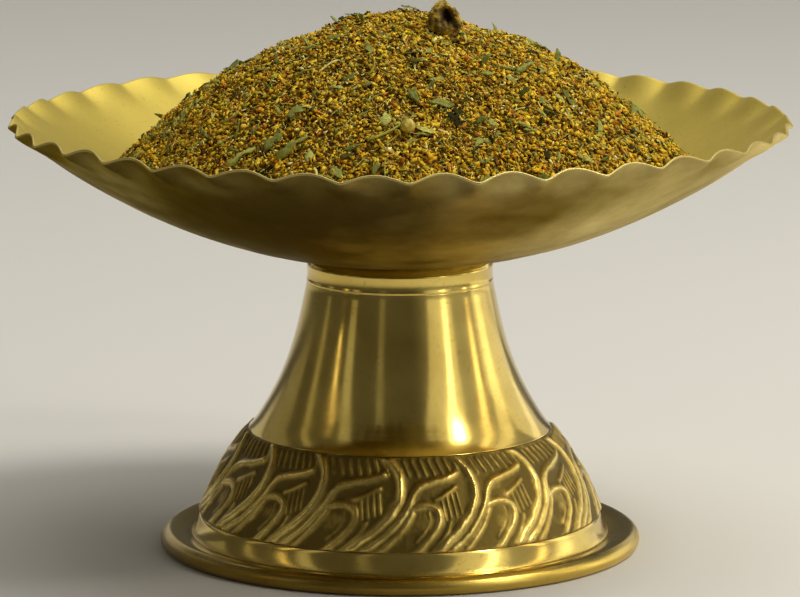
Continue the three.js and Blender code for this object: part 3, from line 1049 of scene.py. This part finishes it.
def makeBud():
    bm = bmesh.new()
    bmesh.ops.create_icosphere(bm, subdivisions=6, radius=0.5)
    depth, wide, right, up = bud["hollow"]
    hollowShadeMask = []
    for v in bm.verts:
        p = v.co.copy()
        lumps = 1 + bud["lumps"][0] * noise.noise(p * 3.2 + Vector((4, 0, 0))) * 2
        lumps += bud["lumps"][1] * noise.noise(p * 9) * 2 + 0.03 * noise.noise(p * 24)
        dx, dz = p.x - right, p.z - up
        away = dx**2 * 1.7 + dz**2 * 0.8 + dx * dz * 0.7   # narrow and leaning
        opening = math.exp(-away / (wide**2 / 2)) * max(0.0, -p.y * 2) ** 1.5
        hollowShadeMask.append(opening * (1 + 0.6 * noise.noise(p * 8)))
        flank = bud["flank"] * max(0.0, p.x) * max(0.0, 0.2 - p.z) ** 0.8
        v.co = (p.x * lumps + flank, p.y * lumps + depth * opening, p.z * lumps)
    bmesh.ops.smooth_vert(bm, verts=bm.verts, factor=0.4, use_axis_x=True, use_axis_y=True, use_axis_z=True)
    bmesh.ops.scale(bm, verts=bm.verts, vec=Vector(bud["size"]) * mm)
    high = bud["top"] - bud["size"][2] / 2
    bmesh.ops.translate(bm, verts=bm.verts, vec=Vector((*bud["at"], high)) * mm)
    bmesh.ops.recalc_face_normals(bm, faces=bm.faces)
    piece = toPiece("curledBud", bm, [budMaterial()])
    giveAttribute(piece.data, "hollow", hollowShadeMask)
    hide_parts("dried_bud")


def budMaterial():
    material, shader = newMaterial("driedHuskHollowShade", Roughness=0.9, Specular_IOR_Level=0.15)
    patches = objectNoise(material, 420, 4, 0.6)
    husk = ramp(material, patches, [(0.36, bud["dark"]), (0.5, bud["husk"]), (0.66, bud["dust"])])
    fine = objectNoise(material, 1600, 3)
    speck = ramp(material, fine, [(0.4, (0.5, 0.45, 0.35)), (0.62, (1.2, 1.15, 1))])
    husk = mixColour(material, 0.8, husk, speck, "MULTIPLY")
    # the front opening is painted near-black as its shade
    shade = remap(material, attributeValue(material, "hollow"), 0.25, 0.6, 0, 1)
    link(material, mixColour(material, shade, husk, (*bud["inside"], 1)), shader.inputs["Base Color"])
    addBump(material, shader, objectNoise(material, 1300, 3), 0.5, 0.0003)
    return material


studio = {
    "floor": (0.66, 0.65, 0.62),
    "floorReach": 40,        # metres
    "left": (0.098, 0.092, 0.078),    # the room is darker on the left
    "right": (0.45, 0.44, 0.41),
    "target": (0, 0, 0.06),
}
# degrees right of the camera, degrees up, distance in metres, width, height, brightness, colour
lamps = {
    "window": (54, 30, 1.0, 0.10, 0.9, 2.6, (1.0, 0.97, 0.90)),
    "windowGlow": (60, 42, 1.0, 0.10, 0.10, 30.0, (1.0, 0.96, 0.86)),
    "windowWide": (48, 28, 1.02, 0.58, 0.8, 0.56, (1.0, 0.95, 0.82)),
    "frameRight": (87, 28, 1.0, 0.09, 0.8, 2.8, (1.0, 0.80, 0.56)),
    "farRight": (106, 24, 1.0, 0.20, 0.8, 1.0, (1.0, 0.94, 0.80)),
    "stripLeft": (-70, 24, 1.0, 0.06, 0.5, 1.5, (1.0, 0.82, 0.50)),
    "softLeft": (-56, 28, 1.0, 0.14, 0.7, 0.40, (1.0, 0.96, 0.84)),
    "frontLeft": (-21, 28, 1.0, 0.10, 0.8, 0.18, (1.0, 0.96, 0.84)),
    "edgeLeft": (-94, 24, 1.0, 0.10, 0.7, 0.34, (1.0, 0.92, 0.72)),
    "farLeft": (-125, 20, 1.0, 0.40, 0.6, 0.16, (1.0, 0.96, 0.84)),
    "top": (20, 86, 1.3, 0.60, 0.60, 2.2, (1.0, 0.98, 0.93)),
    "topBack": (180, 60, 1.3, 0.90, 0.90, 1.2, (1.0, 0.98, 0.93)),
    "highRight": (82, 64, 1.2, 0.42, 0.42, 14.0, (1.0, 0.96, 0.88)),
    "backRight": (150, 14, 1.5, 0.80, 0.50, 0.50, (1.0, 0.97, 0.90)),
    "backLeft": (-155, 14, 1.5, 0.80, 0.50, 0.40, (1.0, 0.97, 0.90)),
    "lowRight": (118, 6, 0.6, 0.50, 0.30, 0.65, (1.0, 0.97, 0.90)),
}


def makeStudio():
    bm = bmesh.new()
    bmesh.ops.create_grid(bm, x_segments=1, y_segments=1, size=studio["floorReach"])
    mesh = bpy.data.meshes.new("floor")
    bm.to_mesh(mesh)
    bm.free()
    floor = bpy.data.objects.new("floor", mesh)
    bpy.context.collection.objects.link(floor)
    material, shader = newMaterial("paleFloor", Roughness=0.8, Specular_IOR_Level=0.2)
    shader.inputs["Base Color"].default_value = (*studio["floor"], 1)
    mesh.materials.append(material)
    target = Vector(studio["target"])
    for name, (azimuth, up, away, wide, high, bright, colour) in lamps.items():
        light = bpy.data.lights.new(name, "AREA")
        light.shape = "RECTANGLE"
        light.size, light.size_y = wide, high
        light.energy = bright * wide * high * math.pi
        light.color = colour
        lamp = bpy.data.objects.new(name, light)
        a, e = math.radians(azimuth), math.radians(up)
        towards = Vector((math.sin(a) * math.cos(e), -math.cos(a) * math.cos(e), math.sin(e)))
        lamp.location = target + towards * away
        lamp.rotation_euler = (target - lamp.location).to_track_quat("-Z", "Y").to_euler()
        bpy.context.collection.objects.link(lamp)
    world = bpy.data.worlds.new("room")
    world.use_nodes = True
    where = addNode(world, "ShaderNodeTexCoord").outputs["Generated"]
    side = addNode(world, "ShaderNodeSeparateXYZ", {"Vector": where}).outputs["X"]
    stops = [(0.60, studio["left"]), (0.95, studio["right"])]
    shade = ramp(world, remap(world, side, -1, 1, 0, 1), stops, "EASE")
    link(world, shade, world.node_tree.nodes["Background"].inputs["Color"])
    bpy.context.scene.world = world
    bpy.context.scene.view_settings.view_transform = "Standard"
    bpy.context.scene.view_settings.look = "None"


makeCamera()
makeStudio()
print("studio ready")
makeDish()
makePedestal()
makeLeafBand()
makeCore()
makeGrains()
makeFlakes()
makeStalks()
makeSeed()
makeBud()
